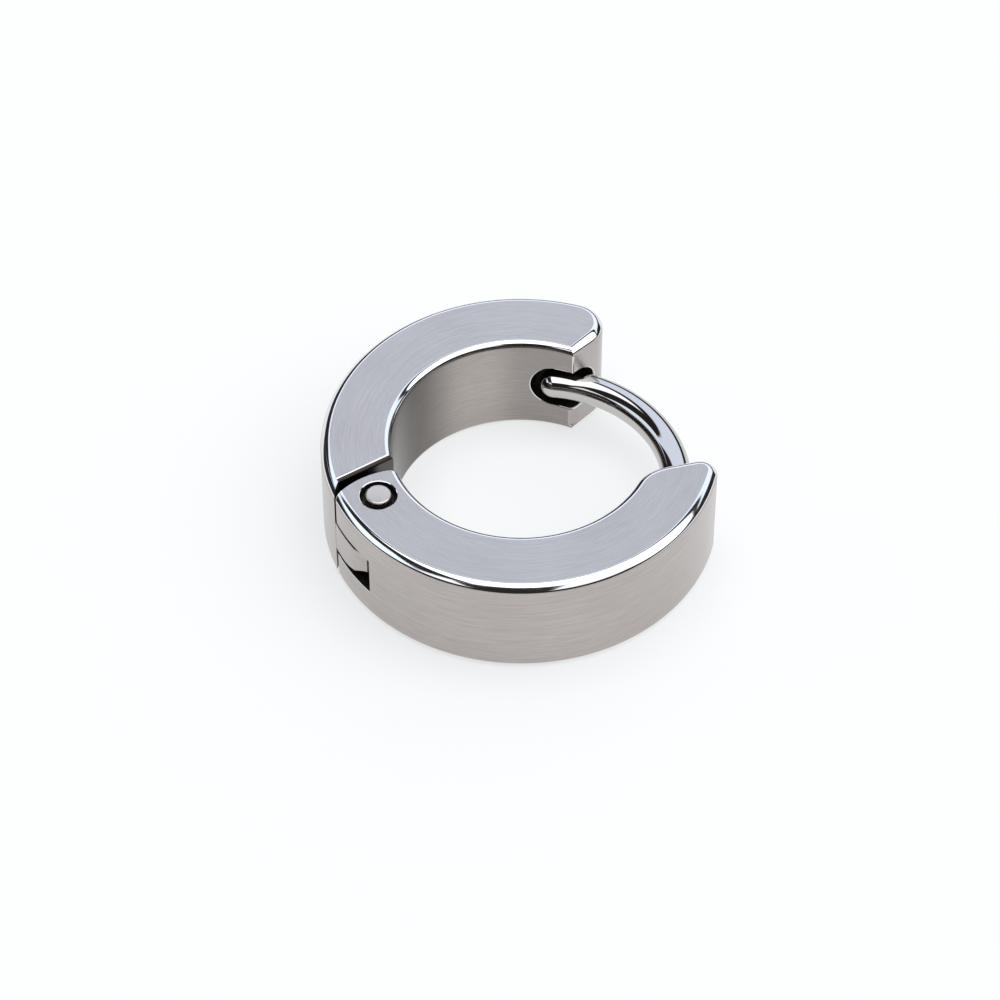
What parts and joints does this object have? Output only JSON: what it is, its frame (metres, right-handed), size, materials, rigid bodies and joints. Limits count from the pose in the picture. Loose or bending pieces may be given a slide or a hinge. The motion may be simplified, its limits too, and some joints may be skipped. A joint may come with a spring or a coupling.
{
  "type": "hinged clicker ring with a bridging wire",
  "caption": "Flat-band steel hoop in hinged halves with an open gap, bridged by a thin bent wire whose round tip sits in a groove in the rear half.",
  "frame": {"origin": "the ring's axis, where it meets the face that the ring lies on", "axes": "+Z along the ring's axis, away from the face it lies on; +Y towards the rear half; +X towards the gap and its wire"},
  "size_m": [0.0152, 0.0154, 0.0047],
  "materials": {
    "band": "satin brushed along the band, long edges and corners polished",
    "pin": "turned, with polished rims",
    "wire": "mirror polished"
  },
  "bodies": {
    "rear": {"rear_half": "band"},
    "front": {"front_half": "band", "hinge_pin": "pin", "bridge_wire": "wire"}
  },
  "joints": [
    {"name": "ring_hinge", "type": "hinge", "parent": "rear", "child": "front", "pos_m": [-0.00545, -0.00301, 0.0023], "axis": [0, 0, -1], "range_deg": [0, 28]}
  ]
}
